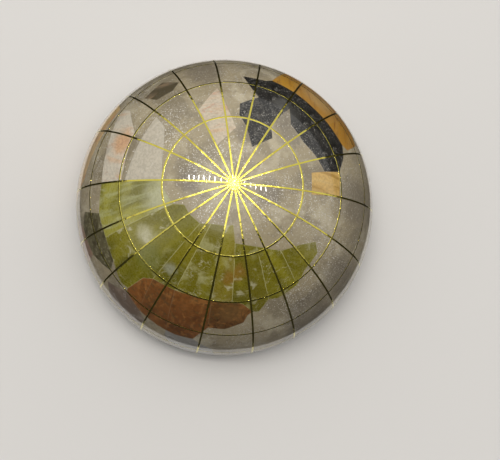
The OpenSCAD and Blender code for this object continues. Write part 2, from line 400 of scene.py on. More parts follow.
class Effects:
    """Node groups that put out masks, shades and normals, each built once."""

    INPUTS = {
        "Vector": "Vector", "Shift": "Vector", "Scale": "Float",
        "Stretch": "Float", "Low": "Float", "High": "Float",
    }
    MIDDLE = (0.5, 0.5, 0.5)
    GATE_SCALE = 0.7
    RAGGED_SCALE = 0.45
    RAGGED_BY = 3.0
    FLAKE_LEAN = 1.1

    def __init__(self) -> None:
        """Builds every group."""
        self.groups: dict[Effect, bpy.types.ShaderNodeTree] = {
            Effect.CLOUDS: self.clouds(),
            Effect.VEINS: self.veins(),
            Effect.SPECKS: self.specks(),
            Effect.PATCH: self.patch(),
            Effect.FLAKES: self.flakes(),
        }

    def start(
        self, effect: Effect, outputs: dict[str, str]
    ) -> tuple[Graph, bpy.types.Node, bpy.types.NodeSocket]:
        """Starts a group with the inputs that all of them have.

        Args:
            effect: The effect that the group makes.
            outputs: Socket types of the outputs, by name.

        Returns:
            The graph, its input node, and the shifted, stretched and scaled vector.
        """
        tree = bpy.data.node_groups.new(effect.value, "ShaderNodeTree")
        graph = Graph(tree)
        for way, sockets in (("INPUT", self.INPUTS), ("OUTPUT", outputs)):
            for name, kind in sockets.items():
                tree.interface.new_socket(name, in_out=way, socket_type="NodeSocket" + kind)
        given = graph.add("NodeGroupInput")
        moved = graph.vectors("SUBTRACT", given.outputs["Vector"], given.outputs["Shift"])
        thinner = graph.maths("DIVIDE", 1.0, given.outputs["Stretch"])
        stretch = graph.add("CombineXYZ", {"X": 1.0, "Y": thinner, "Z": 1.0}).outputs[0]
        vector = graph.scaled(graph.vectors("MULTIPLY", moved, stretch), given.outputs["Scale"])
        return graph, given, vector

    def finish(self, graph: Graph, values: dict[str, object]) -> bpy.types.ShaderNodeTree:
        """Links a group's results to its output node and returns the group."""
        graph.add("NodeGroupOutput", values)
        return graph.tree

    def clouds(self) -> bpy.types.ShaderNodeTree:
        """Soft patches, or streaks where Stretch is above 1.

        Returns:
            The group.
        """
        graph, given, vector = self.start(Effect.CLOUDS, {"Mask": "Float"})
        noise = graph.noise(vector, detail=4.0, roughness=0.52, distortion=0.5)
        mask = graph.ease(noise.outputs[0], given.outputs["Low"], given.outputs["High"])
        return self.finish(graph, {"Mask": mask})

    def veins(self) -> bpy.types.ShaderNodeTree:
        """Thin wandering lines, whose half width is High.

        Returns:
            The group.
        """
        graph, given, vector = self.start(Effect.VEINS, {"Mask": "Float"})
        noise = graph.noise(vector, detail=3.0, distortion=0.8)
        off = graph.maths("ABSOLUTE", graph.maths("SUBTRACT", noise.outputs[0], 0.5))
        line = graph.ease(off, given.outputs["Low"], given.outputs["High"], 1.0, 0.0)
        gate = graph.noise(vector, detail=1.0, scale=self.GATE_SCALE)
        mask = graph.maths("MULTIPLY", line, graph.ease(gate.outputs[0], 0.4, 0.6))
        return self.finish(graph, {"Mask": mask})

    def grains(
        self, graph: Graph, given: bpy.types.Node, vector: object
    ) -> tuple[bpy.types.NodeSocket, bpy.types.NodeSocket, bpy.types.NodeSocket]:
        """Finds the grains: cells whose first shade is above Low, as large as High.

        Args:
            graph: The group's graph.
            given: Its input node.
            vector: The moved and scaled vector.

        Returns:
            The mask of the grains, the shade of each, and the colour drawn for each.
        """
        cell = graph.add("TexVoronoi", {"Vector": vector, "Scale": 1.0, "Randomness": 1.0})
        shades = graph.add("SeparateColor", {0: cell.outputs["Color"]})
        chosen = graph.maths("GREATER_THAN", shades.outputs[0], given.outputs["Low"])
        inside = graph.maths("LESS_THAN", cell.outputs["Distance"], given.outputs["High"])
        return graph.maths("MULTIPLY", chosen, inside), shades.outputs[1], cell.outputs["Color"]

    def specks(self) -> bpy.types.ShaderNodeTree:
        """Small angular grains.

        Returns:
            The group.
        """
        graph, given, vector = self.start(Effect.SPECKS, {"Mask": "Float"})
        mask, _, _ = self.grains(graph, given, vector)
        return self.finish(graph, {"Mask": mask})

    def patch(self) -> bpy.types.ShaderNodeTree:
        """One ragged round patch about Shift, that fades from Low to High.

        Returns:
            The group.
        """
        graph, given, vector = self.start(Effect.PATCH, {"Mask": "Float"})
        noise = graph.noise(given.outputs["Vector"], detail=3.0, scale=self.RAGGED_SCALE)
        off = graph.vectors("SUBTRACT", noise.outputs["Color"], self.MIDDLE)
        ragged = graph.vectors("ADD", vector, graph.scaled(off, self.RAGGED_BY))
        flat = graph.vectors("MULTIPLY", ragged, (1.0, 1.0, 0.0))
        length = graph.add("VectorMath", {0: flat}, operation="LENGTH").outputs["Value"]
        mask = graph.ease(length, given.outputs["Low"], given.outputs["High"], 1.0, 0.0)
        return self.finish(graph, {"Mask": mask})

    def flakes(self) -> bpy.types.ShaderNodeTree:
        """Glitter flakes, each with its own brightness and tilt.

        Returns:
            The group.
        """
        outputs = {"Mask": "Float", "Shade": "Float", "Normal": "Vector"}
        graph, given, vector = self.start(Effect.FLAKES, outputs)
        mask, shade, colour = self.grains(graph, given, vector)
        lean = graph.vectors("SUBTRACT", colour, self.MIDDLE)
        lean = graph.scaled(lean, graph.maths("MULTIPLY", mask, self.FLAKE_LEAN))
        tilted = graph.vectors("ADD", graph.add("NewGeometry").outputs["Normal"], lean)
        normal = graph.add("VectorMath", {0: tilted}, operation="NORMALIZE").outputs[0]
        return self.finish(graph, {"Mask": mask, "Shade": shade, "Normal": normal})

    def use(self, graph: Graph, vector: object, layer: Layer) -> bpy.types.Node:
        """Places a layer's group in a material with the layer's values.

        Args:
            graph: The material's graph.
            vector: The coordinates, in millimetres.
            layer: The layer's effect, place, scale, stretch and limits.

        Returns:
            The group node.
        """
        values = {
            "Vector": vector, "Shift": layer.shift, "Scale": layer.scale,
            "Stretch": layer.stretch, "Low": layer.low, "High": layer.high,
        }
        return graph.add("Group", values, node_tree=self.groups[layer.effect])


@dataclass
class Workshop:
    """What every finish is made with: coordinates, layers, and the lacquered shader."""

    globe: Globe
    effects: Effects
    coat_roughness: float = 0.035

    def start(self, name: str) -> tuple[bpy.types.Material, Graph]:
        """Starts a material with an empty tree.

        Args:
            name: The material's name.

        Returns:
            The material and its graph.
        """
        material = bpy.data.materials.new(name)
        material.use_nodes = True
        return material, Graph(material.node_tree)

    def coordinates(self, graph: Graph, frame: Matrix) -> bpy.types.NodeSocket:
        """Puts Object coordinates into a frame in millimetres.

        Args:
            graph: The material's graph.
            frame: Matrix from object space, in metres, to the frame.

        Returns:
            The mapped vector.
        """
        place = graph.add("TexCoord").outputs["Object"]
        mapping = graph.add("Mapping", {"Vector": place}, vector_type="POINT")
        mapping.inputs["Location"].default_value = frame.to_translation()
        mapping.inputs["Rotation"].default_value = frame.to_3x3().to_euler()
        mapping.inputs["Scale"].default_value = (1 / MM, 1 / MM, 1 / MM)
        return mapping.outputs[0]

    def mask(self, graph: Graph, vector: object, layer: Layer) -> bpy.types.NodeSocket:
        """Returns where a layer's effect is, as a mask."""
        return self.effects.use(graph, vector, layer).outputs["Mask"]

    def layered(self, graph: Graph, vector: object, ground: Colour, layers: tuple[Layer, ...]) -> object:
        """Lays layers over a ground colour.

        Args:
            graph: The material's graph.
            vector: The coordinates, in millimetres.
            ground: The colour under the layers.
            layers: The layers, from the lowest up.

        Returns:
            The colour, as a socket where there are layers.
        """
        colour: object = ground
        for layer in layers:
            cover = graph.maths("MULTIPLY", self.mask(graph, vector, layer), layer.amount)
            colour = graph.blend(cover, colour, layer.colour)
        return colour

    def seamed(self, graph: Graph, colour: object, seam: Colour, strength: float) -> bpy.types.NodeSocket:
        """Returns a colour with the seam round a piece's face laid over it."""
        edge = graph.add("Attribute", attribute_name="seam").outputs["Fac"]
        return graph.blend(graph.maths("MULTIPLY", edge, strength), colour, seam)

    def shader(self, graph: Graph, links: dict[str, object], coat: float = 1.0, **plain: float) -> None:
        """Adds the shader and the output.

        Args:
            graph: The material's graph.
            links: What feeds the shader's inputs, by name.
            coat: Weight of the clear lacquer.
            plain: Constant values for other inputs, with _ for a space in the name.
        """
        node = graph.add("BsdfPrincipled", links)
        node.inputs["Coat Weight"].default_value = coat
        node.inputs["Coat Roughness"].default_value = self.coat_roughness
        for name, value in plain.items():
            node.inputs[name.replace("_", " ")].default_value = value
        graph.add("OutputMaterial", {"Surface": node.outputs[0]})


def clouds(
    colour: Colour, scale: float, low: float, high: float, amount: float = 1.0, seed: float = 0.0
) -> Layer:
    """Returns a layer of soft patches."""
    return Layer(Effect.CLOUDS, colour, scale, low, high, amount, 1.0, (seed, 0.0, 7.0 * seed))


def streaks(
    colour: Colour, scale: float, low: float, high: float,
    amount: float = 1.0, stretch: float = 6.0, seed: float = 0.0,
) -> Layer:
    """Returns a layer of streaks along the frame's second axis."""
    return Layer(Effect.CLOUDS, colour, scale, low, high, amount, stretch, (seed, 3.0 * seed, 0.0))


def veins(
    colour: Colour, scale: float, width: float, amount: float = 1.0, stretch: float = 1.0, seed: float = 0.0
) -> Layer:
    """Returns a layer of thin wandering lines."""
    return Layer(Effect.VEINS, colour, scale, 0.0, width, amount, stretch, (seed, 0.0, 5.0 * seed))


def specks(colour: Colour, scale: float, share: float, size: float = 0.45, amount: float = 1.0) -> Layer:
    """Returns a layer of grains in the given share of cells."""
    return Layer(Effect.SPECKS, colour, scale, 1.0 - share, size, amount)


def patch(
    colour: Colour, at: tuple[float, float], inner: float, outer: float, amount: float = 1.0
) -> Layer:
    """Returns a layer with one ragged patch, at a place east and north of the stone's middle."""
    return Layer(Effect.PATCH, colour, 1.0, inner, outer, amount, 1.0, (at[0], at[1], 0.0))


@dataclass(frozen=True)
class Stone:
    """A kind of lacquered stone: its ground colour, the layers over it, its seam and its grain."""

    ground: Colour
    layers: tuple[Layer, ...]
    seam: Colour = (0.3, 0.27, 0.17)
    seam_strength: float = 0.7
    turn: float = 0.0
    roughness: float = 0.38
    grain: float = 0.11
    roughness_spread: float = 0.08
    grain_layer: Layer = clouds(NO_COLOUR, 1.6, 0.3, 0.7)
    relief: float = 0.15
    relief_depth: float = 0.02 * MM

    def make(self, shop: Workshop, name: str, direction: Vector) -> bpy.types.Material:
        """Makes the stone's material.

        Args:
            shop: What finishes are made with.
            name: The material's name.
            direction: Direction of the slab's middle from the globe's centre.

        Returns:
            The material.
        """
        material, graph = shop.start(name)
        vector = shop.coordinates(graph, shop.globe.local(direction, self.turn))
        colour = shop.layered(graph, vector, self.ground, self.layers)
        grain = shop.mask(graph, vector, self.grain_layer)
        value = graph.ease(grain, 0.0, 1.0, 1.0 - self.grain, 1.0 + self.grain)
        shaded = graph.add("HueSaturation", {"Value": value, "Color": colour}).outputs[0]
        colour = shop.seamed(graph, shaded, self.seam, self.seam_strength)
        spread = self.roughness_spread
        roughness = graph.ease(grain, 0.0, 1.0, self.roughness - spread, self.roughness + spread)
        normal = graph.bump(grain, self.relief, self.relief_depth)
        shop.shader(graph, {"Base Color": colour, "Roughness": roughness, "Normal": normal})
        return material


# Places on the ocean, in millimetres east and north of the pole, with how far each reaches.
GLITTER_PLACES = (
    (23, -15, 9), (18, -21, 6), (20, -4, 8), (12, -1, 5), (27, 4, 6), (23, 11, 6), (15, -27, 6), (-1, 8, 6),
    (-8, 4, 6), (-5, -6, 6), (7, -6, 5), (-16, 14, 9), (-24, 24, 8), (-31, 16, 7), (-27, -6, 4), (2, 30, 7),
    (34, 10, 8), (34, -14, 6), (-34, 6, 6), (10, 35, 7), (-8, -36, 6), (5, -37, 7), (-22, 31, 6),
)
# Darker patches on the ocean, partly painted shade: those towards the right and the lower rim darken it
# where shade falls on the dome's side.
DARK_SPOTS_AND_PAINTED_SHADE = (
    (11, 18, 6), (14, 13, 5), (31, -2, 8), (27, -20, 7), (3, 12, 4), (-10, 1, 4), (8, -2, 4), (20, -30, 9),
    (-6, 30, 6),
)

JADE_PALE = (0.40, 0.385, 0.18)
JADE_WHITE = (0.50, 0.475, 0.31)
JADE_DEEP = (0.115, 0.105, 0.006)
JADE_SEAM = (0.46, 0.44, 0.22)


def jade(ground: Colour, *extra: Layer, turn: float = 0.0, seed: float = 0.0, pale: float = 0.5) -> Stone:
    """Describes a green stone with the clouds and fine lines that they all have.

    Args:
        ground: Its ground colour.
        extra: Layers of its own.
        turn: Degrees by which its pattern is turned.
        seed: Which part of the pattern it shows.
        pale: How strong its pale clouds are.

    Returns:
        The stone.
    """
    return Stone(
        ground,
        (
            clouds(JADE_DEEP, 0.10, 0.46, 0.68, 0.8, seed),
            streaks((0.30, 0.27, 0.02), 0.22, 0.44, 0.7, 0.5, 4.0, seed + 2.0),
            clouds(JADE_PALE, 0.2, 0.56, 0.72, pale, seed + 4.0),
            *extra,
            veins(JADE_WHITE, 0.35, 0.012, 0.35, 1.0, seed + 6.0),
        ),
        seam=JADE_SEAM,
        seam_strength=0.85,
        turn=turn,
        roughness=0.3,
        grain=0.035,
    )


def jasper(ground: Colour, *extra: Layer, turn: float = 20.0, seed: float = 0.0) -> Stone:
    """Describes a brown stone with a fine woven mottle.

    Args:
        ground: Its ground colour.
        extra: Layers of its own.
        turn: Degrees by which its pattern is turned.
        seed: Which part of the pattern it shows.

    Returns:
        The stone.
    """
    return Stone(
        ground,
        (
            clouds((0.08, 0.027, 0.005), 0.3, 0.5, 0.72, 0.7, seed),
            streaks((0.33, 0.145, 0.035), 0.9, 0.5, 0.68, 0.7, 2.0, seed + 1.0),
            clouds((0.075, 0.055, 0.018), 1.1, 0.52, 0.64, 0.6, seed + 3.0),
            clouds((0.26, 0.10, 0.02), 0.12, 0.5, 0.65, 0.5, seed + 5.0),
            *extra,
        ),
        seam=(0.30, 0.20, 0.10),
        seam_strength=0.55,
        turn=turn,
    )


def granite(*extra: Layer, grains: float = 0.4) -> Stone:
    """Describes a black stone with grey and silver grains.

    Args:
        extra: Layers of its own.
        grains: Share of the cells that hold a grey grain.

    Returns:
        The stone.
    """
    return Stone(
        (0.009, 0.0075, 0.005),
        (
            specks((0.060, 0.055, 0.045), 2.4, grains, 0.5),
            clouds((0.004, 0.003, 0.002), 0.7, 0.45, 0.55, 0.9),
            specks((0.17, 0.165, 0.15), 4.2, 0.3, 0.4, 0.85),
            specks((0.45, 0.43, 0.38), 3.4, 0.08, 0.36),
            *extra,
        ),
        seam=(0.03, 0.03, 0.03),
        seam_strength=0.5,
    )


def calcite(ground: Colour, *extra: Layer, turn: float = 35.0) -> Stone:
    """Describes a yellow stone with fine slanting lines.

    Args:
        ground: Its ground colour.
        extra: Layers of its own.
        turn: Degrees by which its pattern is turned.

    Returns:
        The stone.
    """
    return Stone(
        ground,
        (
            streaks((0.46, 0.25, 0.05), 0.45, 0.45, 0.7, 0.8, 7.0),
            streaks((0.27, 0.10, 0.006), 0.6, 0.52, 0.68, 0.85, 9.0, 4.0),
            *extra,
            veins((0.16, 0.03, 0.008), 0.6, 0.03, 0.8, 5.0),
        ),
        seam=(0.42, 0.26, 0.09),
        seam_strength=0.6,
        turn=turn,
    )


def marble(
    ground: Colour, line: Colour, *extra: Layer, turn: float = 0.0, width: float = 0.02, seed: float = 0.0
) -> Stone:
    """Describes a pale stone with fine veins.

    Args:
        ground: Its ground colour.
        line: Colour of its veins.
        extra: Layers of its own.
        turn: Degrees by which its pattern is turned.
        width: Half width of its veins, as a share of the noise.
        seed: Which part of the pattern it shows.

    Returns:
        The stone.
    """
    return Stone(
        ground,
        (
            clouds((0.42, 0.37, 0.29), 0.18, 0.45, 0.75, 0.6, seed),
            *extra,
            veins(line, 0.5, width, 0.55, 4.0, seed + 2.0),
        ),
        seam=(0.16, 0.14, 0.10),
        seam_strength=0.5,
        turn=turn,
    )


STONES: dict[str, Stone] = {
    "greenland": marble(
        (0.50, 0.43, 0.32),
        (0.46, 0.19, 0.11),
        streaks((0.52, 0.35, 0.21), 0.4, 0.5, 0.75, 0.8, 5.0),
        turn=90.0,
        width=0.035,
    ),
    "small_island": Stone(
        (0.085, 0.067, 0.035),
        (streaks((0.24, 0.17, 0.10), 0.35, 0.48, 0.64, 0.9, 5.0), specks((0.12, 0.11, 0.08), 2.5, 0.2)),
        turn=80.0,
    ),
    "scandinavia": marble((0.45, 0.405, 0.315), (0.55, 0.52, 0.45), width=0.014, seed=3.0, turn=70.0),
    "west_europe": marble(
        (0.56, 0.51, 0.41),
        (0.48, 0.26, 0.16),
        streaks((0.58, 0.33, 0.16), 0.3, 0.5, 0.7, 0.55, 4.0, 3.0),
        patch((0.60, 0.33, 0.15), (-1.0, 1.0), 1.5, 4.5, 0.75),
        patch((0.26, 0.19, 0.13), (2.0, -6.0), 1.0, 3.0, 0.6),
        seed=5.0,
    ),
    "west_africa": Stone(
        (0.62, 0.42, 0.17),
        (
            streaks((0.46, 0.32, 0.20), 0.2, 0.4, 0.7, 0.8, 5.0),
            veins((0.55, 0.14, 0.05), 0.3, 0.03, 0.7, 5.0),
            streaks((0.70, 0.50, 0.24), 0.4, 0.5, 0.7, 0.6, 6.0),
        ),
        turn=60.0,
    ),
    "east_africa": Stone(
        (0.56, 0.40, 0.21),
        (
            streaks((0.62, 0.42, 0.20), 0.2, 0.4, 0.7, 0.8, 5.0),
            veins((0.40, 0.10, 0.04), 0.3, 0.03, 0.7, 5.0),
        ),
        turn=40.0,
    ),
    "arabia": Stone(
        (0.24, 0.15, 0.10),
        (clouds((0.34, 0.22, 0.13), 0.3, 0.4, 0.7), veins((0.13, 0.06, 0.03), 0.4, 0.02, 0.6)),
        turn=20.0,
    ),
    "persia": Stone(
        (0.115, 0.10, 0.045),
        (
            specks((0.22, 0.20, 0.12), 1.8, 0.35, 0.55),
            clouds((0.05, 0.04, 0.015), 0.4, 0.45, 0.6, 0.8),
            veins((0.25, 0.24, 0.15), 0.4, 0.015, 0.6),
        ),
    ),
    "jade_1": jade(
        (0.33, 0.31, 0.05),
        streaks((0.40, 0.41, 0.20), 0.55, 0.45, 0.65, 0.7, 7.0, 5.0),
        patch((0.42, 0.42, 0.28), (0.0, 8.5), 1.0, 6.5, 0.8),
        seed=1.0,
        pale=0.3,
    ),
    "jade_2": jade(
        (0.16, 0.142, 0.006),
        patch(JADE_WHITE, (0.5, 1.5), 0.3, 3.4, 0.85),
        clouds(JADE_WHITE, 0.3, 0.56, 0.64, 0.7, 11.0),
        seed=12.0,
    ),
    "jade_3": jade(
        (0.16, 0.145, 0.004), patch((0.14, 0.15, 0.025), (-1.0, -2.0), 2.0, 5.0, 0.6), seed=23.0, pale=0.35,
    ),
    "jade_4": jade(
        (0.185, 0.16, 0.008), patch((0.30, 0.30, 0.20), (-1.0, -3.5), 0.6, 2.4, 0.8), seed=31.0, pale=0.35,
    ),
    "jade_5": jade(
        (0.155, 0.135, 0.006),
        veins(JADE_WHITE, 0.5, 0.03, 0.6, 1.0, 4.0),
        clouds(JADE_PALE, 0.25, 0.52, 0.66, 0.6, 15.0),
        seed=42.0,
    ),
    "jade_6": jade(
        (0.205, 0.165, 0.018),
        clouds(JADE_WHITE, 0.3, 0.54, 0.64, 0.7, 25.0),
        patch((0.25, 0.13, 0.02), (1.0, -3.0), 0.6, 2.6, 0.7),
        seed=53.0,
    ),
    "jade_7": jade(
        (0.145, 0.125, 0.008),
        patch((0.24, 0.13, 0.022), (-2.0, 3.0), 0.8, 3.0, 0.75),
        clouds(JADE_WHITE, 0.35, 0.55, 0.68, 0.6, 9.0),
        seed=64.0,
        turn=10.0,
    ),
    "jade_8": jade(
        (0.15, 0.132, 0.006), veins(JADE_WHITE, 0.4, 0.03, 0.6, 0.4, 8.0), seed=75.0, turn=20.0, pale=0.25,
    ),
    "jade_9": jade(
        (0.16, 0.14, 0.006), veins(JADE_WHITE, 0.35, 0.02, 0.5, 0.4, 6.0), seed=86.0, turn=30.0, pale=0.2,
    ),
    "jasper_1": jasper((0.235, 0.082, 0.012), seed=2.0),
    "jasper_2": jasper((0.185, 0.066, 0.011), seed=9.0),
    "jasper_3": jasper((0.175, 0.060, 0.009), seed=15.0, turn=-10.0),
    "jasper_4": jasper(
        (0.125, 0.052, 0.010),
        veins((0.045, 0.018, 0.004), 0.22, 0.05, 0.8, 0.5, 4.0),
        patch((0.19, 0.105, 0.03), (0.0, 0.0), 1.0, 5.0, 0.5),
        seed=21.0,
        turn=70.0,
    ),
    "india": Stone(
        (0.17, 0.12, 0.085),
        (clouds((0.34, 0.28, 0.22), 0.3, 0.5, 0.7, 0.8), veins((0.42, 0.40, 0.37), 0.3, 0.03, 0.8)),
        turn=30.0,
    ),
    "indochina": Stone(
        (0.27, 0.26, 0.235),
        (clouds((0.12, 0.10, 0.08), 0.25, 0.5, 0.72, 0.8), veins((0.50, 0.48, 0.45), 0.35, 0.03, 0.8)),
        turn=60.0,
    ),
    "alaska": Stone(
        (0.54, 0.345, 0.10),
        (
            streaks((0.36, 0.20, 0.03), 0.55, 0.5, 0.68, 0.85, 9.0),
            streaks((0.60, 0.44, 0.18), 0.5, 0.5, 0.7, 0.7, 9.0, 5.0),
        ),
        seam=(0.30, 0.20, 0.10),
        seam_strength=0.5,
        turn=-10.0,
    ),
    "canada_1": granite(),
    "canada_2": granite(patch((0.052, 0.050, 0.044), (4.0, 4.0), 1.5, 4.5, 0.8)),
    "canada_3": granite(patch((0.085, 0.083, 0.075), (-3.0, 2.5), 1.0, 3.2, 0.85)),
    "canada_4": granite(clouds((0.10, 0.092, 0.075), 0.5, 0.5, 0.6, 0.5), grains=0.6),
    "calcite_1": calcite((0.41, 0.20, 0.018)),
    "calcite_2": calcite((0.42, 0.21, 0.03), patch((0.52, 0.34, 0.13), (1.0, 0.0), 2.0, 7.0, 0.7)),
    "calcite_3": calcite((0.47, 0.24, 0.02), turn=10.0),
    "mexico": calcite((0.38, 0.20, 0.045), clouds((0.25, 0.13, 0.04), 0.25, 0.45, 0.7), turn=0.0),
    "south_america": Stone(
        (0.40, 0.24, 0.18),
        (clouds((0.55, 0.42, 0.34), 0.25, 0.45, 0.7), veins((0.10, 0.05, 0.04), 0.35, 0.02, 0.8)),
        turn=15.0,
    ),
}


@dataclass(frozen=True)
class ShellAndGlitter:
    """The ocean's finish: crushed shell in resin, with silver flakes that crowd in some places and are
    painted near white as a painted glint, and darker patches that are partly painted shade.
    """

    ground: Colour = (0.325, 0.272, 0.170)
    # Just off the pole, where no direction is east.
    middle: Place = (1e-4, 0.0, 1.0)
    turn: float = -90.0
    cloud_layers: tuple[Layer, ...] = (
        clouds((0.215, 0.18, 0.115), 0.085, 0.46, 0.62, 0.9, 1.0),
        clouds((0.45, 0.395, 0.275), 0.11, 0.5, 0.64, 0.9, 8.0),
        clouds((0.19, 0.155, 0.10), 0.4, 0.55, 0.72, 0.5, 14.0),
    )
    # Colour of the darker patches, partly painted shade on the ocean's right and lower side.
    dark: Colour = (0.155, 0.13, 0.095)
    dark_and_shade_amount: float = 0.7
    dark_and_shade_core: float = 0.4
    chip_layers: tuple[Layer, ...] = (
        specks((0.48, 0.43, 0.33), 3.0, 0.25, 0.5, 0.3),
        specks((0.15, 0.125, 0.08), 3.6, 0.15, 0.5, 0.3),
    )
    crowd_core: float = 0.3
    few: Layer = Layer(Effect.FLAKES, NO_COLOUR, 3.2, 0.87, 0.34)
    many: Layer = Layer(Effect.FLAKES, NO_COLOUR, 3.4, 0.58, 0.36, shift=(9.0, 4.0, 2.0))
    # The flakes' colours run up to near white, a painted glint: they sparkle by their colour more than by
    # what they reflect.
    silver_and_glint_low: Colour = (0.55, 0.52, 0.44)
    silver_and_glint_high: Colour = (1.0, 0.98, 0.93)
    flake_cover: float = 0.9
    flake_roughness: float = 0.22
    flake_metal: float = 0.15
    shell_roughness: float = 0.5
    seam: Colour = (0.12, 0.10, 0.07)
    seam_strength: float = 0.45

    def crowd(self, shop: Workshop, graph: Graph, vector: object) -> object:
        """Finds where the flakes crowd together.

        Args:
            shop: What finishes are made with.
            graph: The material's graph.
            vector: The coordinates, in millimetres.

        Returns:
            The mask.
        """
        crowd: object = 0.0
        for east, north, reach in GLITTER_PLACES:
            place = patch(NO_COLOUR, (east, north), reach * self.crowd_core, reach)
            crowd = graph.maths("MAXIMUM", crowd, shop.mask(graph, vector, place))
        return crowd

    def make(self, shop: Workshop) -> bpy.types.Material:
        """Makes the ocean's material.

        Args:
            shop: What finishes are made with.

        Returns:
            The material.
        """
        material, graph = shop.start("ocean_shell_and_glitter")
        vector = shop.coordinates(graph, shop.globe.local(Vector(self.middle), self.turn))
        # Darker patches, partly painted shade.
        dark = tuple(
            patch(self.dark, (east, north), reach * self.dark_and_shade_core, reach, self.dark_and_shade_amount)
            for east, north, reach in DARK_SPOTS_AND_PAINTED_SHADE
        )
        layers = self.cloud_layers + dark + self.chip_layers
        colour = shop.layered(graph, vector, self.ground, layers)
        crowd = self.crowd(shop, graph, vector)
        few = shop.effects.use(graph, vector, self.few)
        many = shop.effects.use(graph, vector, self.many)
        dense = graph.maths("MULTIPLY", many.outputs["Mask"], crowd)
        flake = graph.maths("MAXIMUM", few.outputs["Mask"], dense)
        # Silver flakes with a painted glint, brighter or dimmer at random.
        silver_and_glint = graph.blend(many.outputs["Shade"], self.silver_and_glint_low, self.silver_and_glint_high)
        colour = graph.blend(graph.maths("MULTIPLY", flake, self.flake_cover), colour, silver_and_glint)
        colour = shop.seamed(graph, colour, self.seam, self.seam_strength)
        links = {
            "Base Color": colour,
            "Roughness": graph.ease(flake, 0.0, 1.0, self.shell_roughness, self.flake_roughness),
            "Metallic": graph.maths("MULTIPLY", flake, self.flake_metal),
            "Normal": graph.blend_normals(dense, few.outputs["Normal"], many.outputs["Normal"]),
        }
        shop.shader(graph, links)
        return material


@dataclass(frozen=True)
class Brass:
    """The wires' finish: polished and lacquered brass, hammered a little, with dull spots."""

    bright: Colour = (0.86, 0.75, 0.12)
    dull: Colour = (0.60, 0.45, 0.06)
    pale: Colour = (0.94, 0.88, 0.36)
    dull_amount: float = 0.55
    pale_amount: float = 0.3
    spots: Layer = clouds(NO_COLOUR, 0.35, 0.5, 0.7, 1.0, 3.0)
    scratches: Layer = clouds(NO_COLOUR, 2.5, 0.45, 0.7, 1.0, 6.0)
    waves: Layer = clouds(NO_COLOUR, 0.42, 0.25, 0.75, 1.0, 9.0)
    bright_roughness: float = 0.1
    dull_roughness: float = 0.26
    wave_depth: float = 0.07 * MM
    scratch_relief: float = 0.35
    scratch_depth: float = 0.02 * MM
    lacquer: float = 0.6

    def make(self, shop: Workshop) -> bpy.types.Material:
        """Makes the brass.

        Args:
            shop: What finishes are made with.

        Returns:
            The material.
        """
        material, graph = shop.start("polished_brass_wire")
        vector = shop.coordinates(graph, Matrix.Translation(-shop.globe.centre / MM))
        spots, scratches, waves = (
            shop.mask(graph, vector, layer) for layer in (self.spots, self.scratches, self.waves)
        )
        colour = graph.blend(graph.maths("MULTIPLY", spots, self.dull_amount), self.bright, self.dull)
        colour = graph.blend(graph.maths("MULTIPLY", scratches, self.pale_amount), colour, self.pale)
        roughness = graph.ease(spots, 0.0, 1.0, self.bright_roughness, self.dull_roughness)
        hammered = graph.bump(waves, 1.0, self.wave_depth)
        normal = graph.bump(scratches, self.scratch_relief, self.scratch_depth, hammered)
        links = {"Base Color": colour, "Roughness": roughness, "Normal": normal}
        shop.shader(graph, links, self.lacquer, Metallic=1.0)
        return material


@dataclass(frozen=True)
class Felt:
    """The underside's finish: green felt with its tufts and fibres."""

    deep: Colour = (0.012, 0.055, 0.026)
    tuft: Colour = (0.022, 0.085, 0.040)
    fibre: Colour = (0.055, 0.15, 0.085)
    fibre_amount: float = 0.6
    tuft_height: float = 0.6
    tufts: Layer = clouds(NO_COLOUR, 0.6, 0.4, 0.65)
    long_fibres: Layer = veins(NO_COLOUR, 1.6, 0.09, 1.0, 3.0)
    cross_fibres: Layer = veins(NO_COLOUR, 2.0, 0.09, 1.0, 0.35, 5.0)
    relief: float = 0.8
    relief_depth: float = 0.1 * MM
    roughness: float = 0.95
    sheen: float = 0.4

    def make(self, shop: Workshop) -> bpy.types.Material:
        """Makes the felt.

        Args:
            shop: What finishes are made with.

        Returns:
            The material.
        """
        material, graph = shop.start("green_felt")
        vector = shop.coordinates(graph, Matrix.Identity(4))
        tufts, fibres, cross = (
            shop.mask(graph, vector, layer) for layer in (self.tufts, self.long_fibres, self.cross_fibres)
        )
        threads = graph.maths("MAXIMUM", fibres, cross)
        colour = graph.blend(tufts, self.deep, self.tuft)
        colour = graph.blend(graph.maths("MULTIPLY", threads, self.fibre_amount), colour, self.fibre)
        height = graph.maths("ADD", threads, graph.maths("MULTIPLY", tufts, self.tuft_height))
        normal = graph.bump(height, self.relief, self.relief_depth)
        links = {"Base Color": colour, "Normal": normal}
        shop.shader(graph, links, 0.0, Roughness=self.roughness, Sheen_Weight=self.sheen)
        return material


@dataclass(frozen=True)
class CastStone:
    """The core's finish: pale cast filler with its sand and pores."""

    dark: Colour = (0.42, 0.40, 0.36)
    pale: Colour = (0.55, 0.53, 0.49)
    pore: Colour = (0.22, 0.20, 0.18)
    pore_amount: float = 0.7
    sand: Layer = clouds(NO_COLOUR, 1.2, 0.35, 0.7)
    pores: Layer = specks(NO_COLOUR, 0.9, 0.2, 0.25)
    relief: float = 0.6
    relief_depth: float = 0.1 * MM
    roughness: float = 0.85

    def make(self, shop: Workshop) -> bpy.types.Material:
        """Makes the cast stone.

        Args:
            shop: What finishes are made with.

        Returns:
            The material.
        """
        material, graph = shop.start("cast_stone_core")
        vector = shop.coordinates(graph, Matrix.Identity(4))
        sand, pores = (shop.mask(graph, vector, layer) for layer in (self.sand, self.pores))
        colour = graph.blend(sand, self.dark, self.pale)
        colour = graph.blend(graph.maths("MULTIPLY", pores, self.pore_amount), colour, self.pore)
        normal = graph.bump(graph.maths("SUBTRACT", sand, pores), self.relief, self.relief_depth)
        shop.shader(graph, {"Base Color": colour, "Normal": normal}, 0.0, Roughness=self.roughness)
        return material


